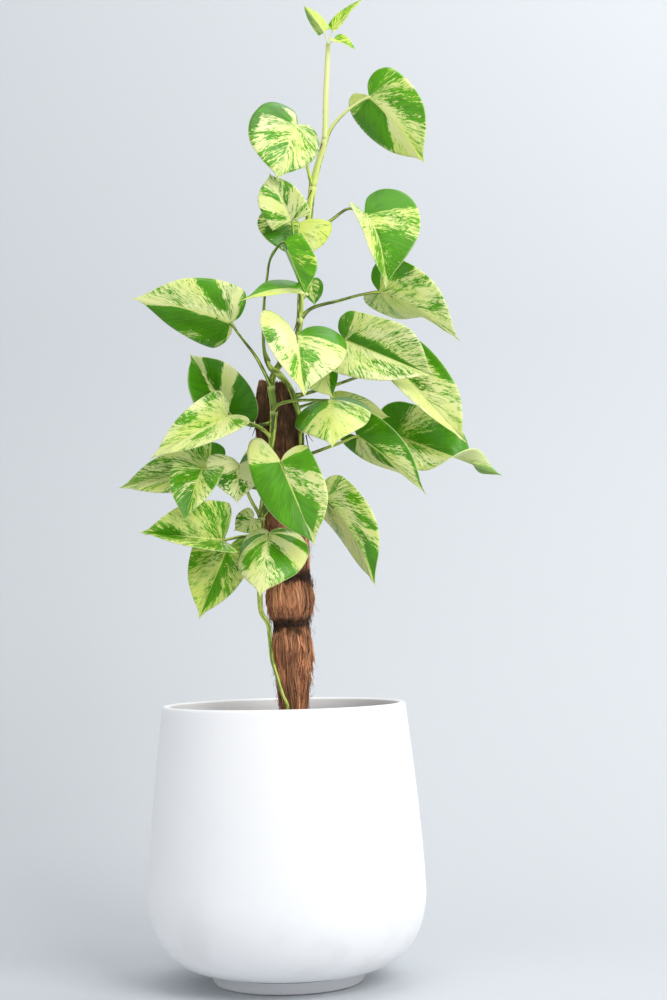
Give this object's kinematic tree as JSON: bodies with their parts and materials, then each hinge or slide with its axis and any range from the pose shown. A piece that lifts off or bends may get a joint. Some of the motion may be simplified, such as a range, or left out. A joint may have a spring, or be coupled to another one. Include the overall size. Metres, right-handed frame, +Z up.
{
  "type": "potted marble queen pothos",
  "caption": "Variegated climbing pothos on a coir pole, with heart-shaped marbled leaves, standing in a round white planter filled with potting mix.",
  "frame": {"origin": "centre of the planter's flat base", "axes": "+Z up, -Y towards the front that the largest leaves face, +X to the right seen from the front"},
  "size_m": [0.4411, 0.317, 1.1363],
  "materials": {
    "planter": "matt white glaze",
    "potting_soil": "damp peat and bark, matt",
    "coir": "loose reddish-brown coconut fibre",
    "tie": "dark fibrous cord",
    "vine": "smooth living stem, soft gloss",
    "leaf": "green and cream marbled leaf, soft gloss"
  },
  "bodies": {
    "root": {"planter": "planter", "potting_soil": "potting_soil", "coir_pole": "coir", "tie_1": "tie", "tie_2": "tie", "main_vine": "vine", "second_vine": "vine", "leaf_01": "leaf", "leaf_02": "leaf", "leaf_03": "leaf", "leaf_04": "leaf", "leaf_05": "leaf", "leaf_06": "leaf", "leaf_07": "leaf", "leaf_08": "leaf", "leaf_09": "leaf", "leaf_10": "leaf", "leaf_11": "leaf", "leaf_12": "leaf", "leaf_13": "leaf", "leaf_14": "leaf", "leaf_15": "leaf", "leaf_16": "leaf", "leaf_17": "leaf", "leaf_18": "leaf", "leaf_19": "leaf", "leaf_20": "leaf", "leaf_21": "leaf", "leaf_22": "leaf", "leaf_23": "leaf", "leaf_24": "leaf", "leaf_25": "leaf", "leaf_26": "leaf", "leaf_27": "leaf", "leaf_28": "leaf", "leaf_29": "leaf", "leaf_30": "leaf", "leaf_31": "leaf", "leaf_32": "leaf"}
  },
  "joints": []
}
